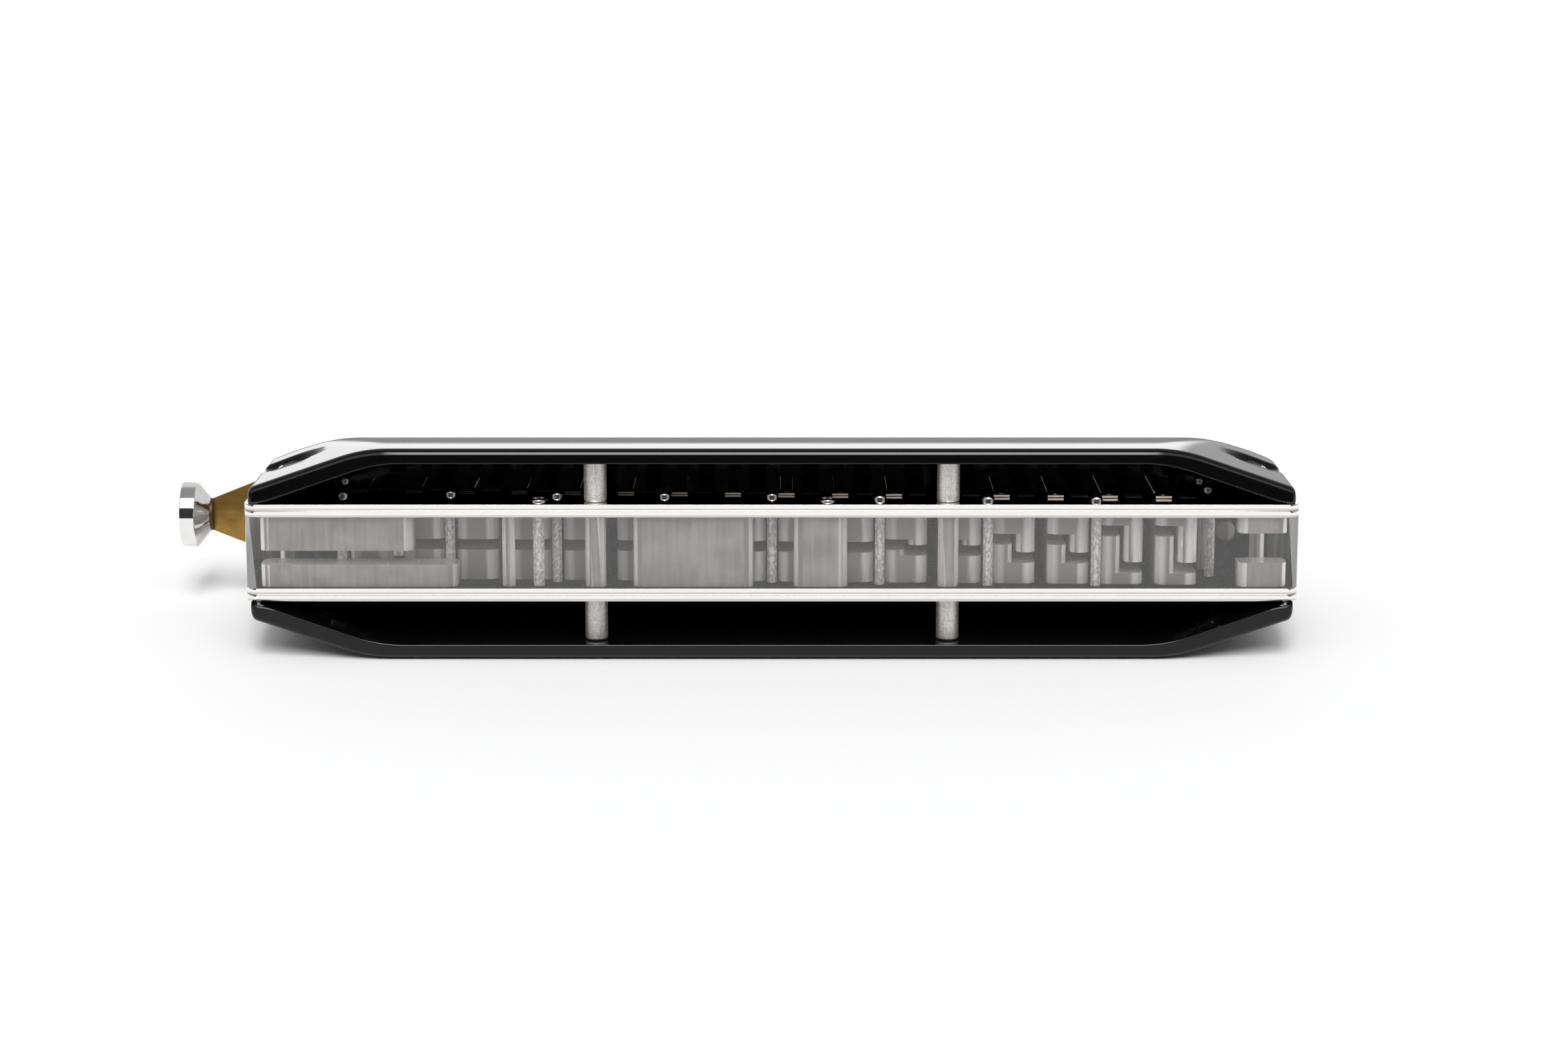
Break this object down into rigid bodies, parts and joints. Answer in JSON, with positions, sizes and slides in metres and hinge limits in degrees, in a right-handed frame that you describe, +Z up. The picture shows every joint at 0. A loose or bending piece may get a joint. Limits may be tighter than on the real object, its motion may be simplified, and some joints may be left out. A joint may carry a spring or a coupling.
{
  "type": "slide chromatic harmonica",
  "caption": "Slide chromatic harmonica: clear comb between stacked reed plates, black covers open at the rear on posts, a mouthpiece in front and a sprung slide with a round end button.",
  "frame": {"origin": "middle of the flat underside of the lower cover, which the instrument rests on", "axes": "+X along the instrument away from the button, +Y toward the mouthpiece, +Z up from the lower to the upper reed plates; the comb is level and the covers' outer faces fall 5 degrees to the front"},
  "size_m": [0.2016, 0.045, 0.037],
  "materials": {
    "comb_acrylic": "clear polished acrylic with frosted milled chambers",
    "black_cover": "satin black coat on a thick metal cover",
    "reed_plate_silver": "bright silver plate, polished edges",
    "brushed_post": "turned and lightly brushed",
    "bright_steel": "bright screw heads",
    "slide_brass": "brushed, darkened brass",
    "button_metal": "turned and polished",
    "mouthpiece_metal": "polished and silvered",
    "insert_brass": "plain brass",
    "spring_steel": "drawn wire"
  },
  "bodies": {
    "body": {"comb": "comb_acrylic", "upper_cover": "black_cover", "lower_cover": "black_cover", "upper_outer_reed_plate": "reed_plate_silver", "upper_inner_reed_plate": "reed_plate_silver", "lower_outer_reed_plate": "reed_plate_silver", "lower_inner_reed_plate": "reed_plate_silver", "upper_post_left": "brushed_post", "lower_post_left": "brushed_post", "upper_post_right": "brushed_post", "lower_post_right": "brushed_post", "plate_screw_1": "bright_steel", "plate_screw_2": "bright_steel", "plate_screw_3": "bright_steel", "plate_screw_4": "bright_steel", "plate_screw_5": "bright_steel", "plate_screw_6": "bright_steel", "plate_screw_7": "bright_steel", "plate_screw_8": "bright_steel", "plate_screw_9": "bright_steel", "front_plate_screw_left": "bright_steel", "front_plate_screw_right": "bright_steel", "upper_short_screw_1": "bright_steel", "lower_short_screw_1": "bright_steel", "upper_short_screw_2": "bright_steel", "lower_short_screw_2": "bright_steel", "cover_bolt_left": "bright_steel", "cover_bolt_right": "bright_steel", "cover_nut_left": "bright_steel", "cover_nut_right": "bright_steel", "post_stud_left": "bright_steel", "post_stud_right": "bright_steel", "mouthpiece_screw_left": "bright_steel", "mouthpiece_screw_right": "bright_steel", "slide_back_plate": "slide_brass", "slide_guide": "mouthpiece_metal", "mouthpiece": "mouthpiece_metal", "mouthpiece_insert_left": "insert_brass", "mouthpiece_insert_right": "insert_brass", "slide_spring": "spring_steel", "spring_pin": "spring_steel"},
    "slide": {"slide": "slide_brass", "slide_button": "button_metal"}
  },
  "joints": [
    {"name": "slide_press", "type": "slide", "parent": "body", "child": "slide", "axis": [1, 0, 0], "range_m": [0, 0.00475], "stiffness_N_per_m": 400, "springref_m": -0.004, "deforming": ["slide_spring"]}
  ]
}
